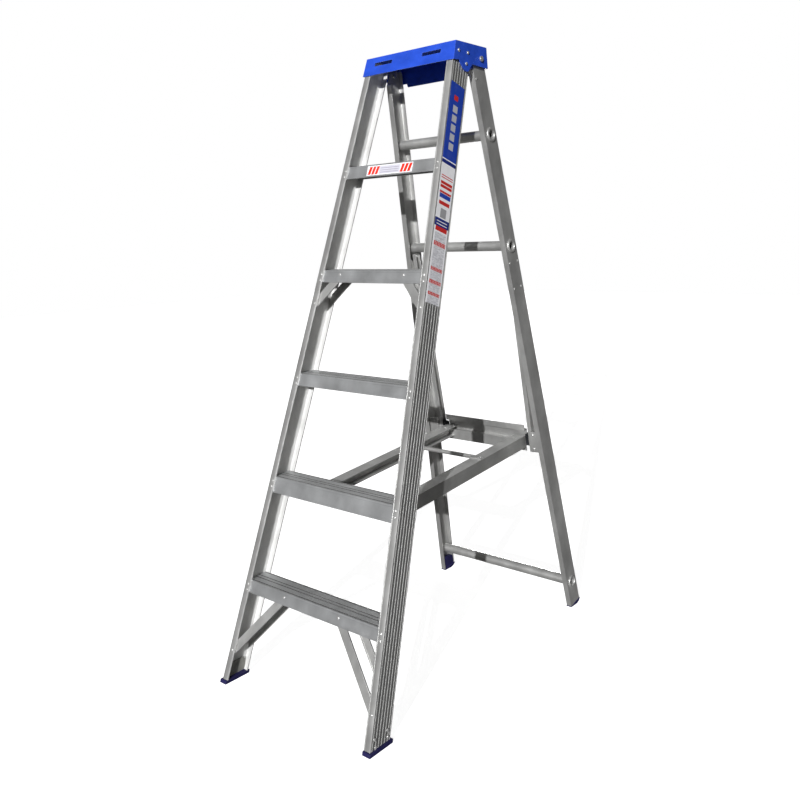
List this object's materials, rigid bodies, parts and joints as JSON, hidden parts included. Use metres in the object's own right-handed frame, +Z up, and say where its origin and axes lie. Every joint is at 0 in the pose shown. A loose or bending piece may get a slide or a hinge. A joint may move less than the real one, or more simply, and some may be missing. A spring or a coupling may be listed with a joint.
{
  "type": "step ladder",
  "caption": "Aluminium step ladder with channel treads, moulded cap, hinged rear frame and folding spreader, standing open.",
  "frame": {"origin": "on the floor, half-way between the front feet's toes and the rear feet's heels, in the ladder's middle plane", "axes": "+Z up; the treads face -Y and the rear frame stands towards +Y; +X is to the right of a person facing the treads"},
  "size_m": [0.587, 1.088, 1.752],
  "materials": {
    "rail_aluminium": "mill finish extrusion",
    "bracket_aluminium": "pressed, dull",
    "fastener_steel": "bright rivet heads and bolts",
    "cap_plastic": "moulded, lightly textured",
    "foot_plastic": "moulded, matt",
    "slider_plastic": "moulded, matt",
    "label_film": "printed film, no lettering"
  },
  "bodies": {
    "front_frame": {"front_stile_left": "rail_aluminium", "front_stile_right": "rail_aluminium", "tread_1": "rail_aluminium", "tread_2": "rail_aluminium", "tread_3": "rail_aluminium", "tread_4": "rail_aluminium", "tread_5": "rail_aluminium", "top_cap": "cap_plastic", "tread_1_front_brace_left": "rail_aluminium", "tread_1_front_brace_right": "rail_aluminium", "tread_1_rear_brace_left": "rail_aluminium", "tread_1_rear_brace_right": "rail_aluminium", "tread_4_front_brace_left": "rail_aluminium", "tread_4_front_brace_right": "rail_aluminium", "tread_4_rear_brace_left": "rail_aluminium", "tread_4_rear_brace_right": "rail_aluminium", "front_foot_left": "foot_plastic", "front_foot_right": "foot_plastic", "hinge_bolt_left": "fastener_steel", "hinge_bolt_right": "fastener_steel", "spreader_lug_left": "bracket_aluminium", "spreader_lug_right": "bracket_aluminium", "spreader_pivot_bolt_left": "fastener_steel", "spreader_pivot_bolt_right": "fastener_steel", "cap_rivet_1_left": "fastener_steel", "cap_rivet_1_right": "fastener_steel", "cap_rivet_2_left": "fastener_steel", "cap_rivet_2_right": "fastener_steel", "cap_rivet_3_left": "fastener_steel", "cap_rivet_3_right": "fastener_steel", "tread_1_brace_rivet_left": "fastener_steel", "tread_1_brace_rivet_right": "fastener_steel", "tread_4_brace_rivet_left": "fastener_steel", "tread_4_brace_rivet_right": "fastener_steel", "side_label": "label_film", "tread_label": "label_film"},
    "rear_frame": {"rear_leg_left": "rail_aluminium", "rear_leg_right": "rail_aluminium", "rear_tube_upper": "rail_aluminium", "rear_tube_middle": "rail_aluminium", "rear_tube_bottom": "rail_aluminium", "guide_channel_left": "rail_aluminium", "guide_channel_right": "rail_aluminium", "guide_top_bracket_left": "bracket_aluminium", "guide_top_bracket_right": "bracket_aluminium", "guide_bottom_bracket_left": "bracket_aluminium", "guide_bottom_bracket_right": "bracket_aluminium", "rear_foot_left": "foot_plastic", "rear_foot_right": "foot_plastic", "guide_rivet_1_left": "fastener_steel", "guide_rivet_1_right": "fastener_steel", "guide_rivet_2_left": "fastener_steel", "guide_rivet_2_right": "fastener_steel"},
    "spreader": {"spreader_arm_left": "rail_aluminium", "spreader_arm_right": "rail_aluminium", "spreader_cross_channel": "rail_aluminium", "spreader_tie_rod": "rail_aluminium"},
    "slider_left": {"slider_shoe_left": "slider_plastic"},
    "slider_right": {"slider_shoe_right": "slider_plastic"}
  },
  "joints": [
    {"name": "rear_fold", "type": "hinge", "parent": "front_frame", "child": "rear_frame", "pos_m": [0, 0.15002, 1.718], "axis": [-1, 0, 0], "range_deg": [0, 29.65]},
    {"name": "spreader_swing", "type": "hinge", "parent": "front_frame", "child": "spreader", "pos_m": [0, -0.25498, 0.517], "axis": [1, 0, 0], "range_deg": [0, 63.93]},
    {"name": "slider_run_left", "type": "slide", "parent": "rear_frame", "child": "slider_left", "axis": [0, -0.2117, 0.9773], "range_m": [0, 0.53878]},
    {"name": "slider_run_right", "type": "slide", "parent": "rear_frame", "child": "slider_right", "axis": [0, -0.2117, 0.9773], "range_m": [0, 0.53878]}
  ],
  "couplings": [
    {"joint": "spreader_swing", "follows": "rear_fold", "ratio": 2.1558},
    {"joint": "slider_run_left", "follows": "rear_fold", "m_per_rad": 1.041},
    {"joint": "slider_run_right", "follows": "rear_fold", "m_per_rad": 1.041}
  ]
}
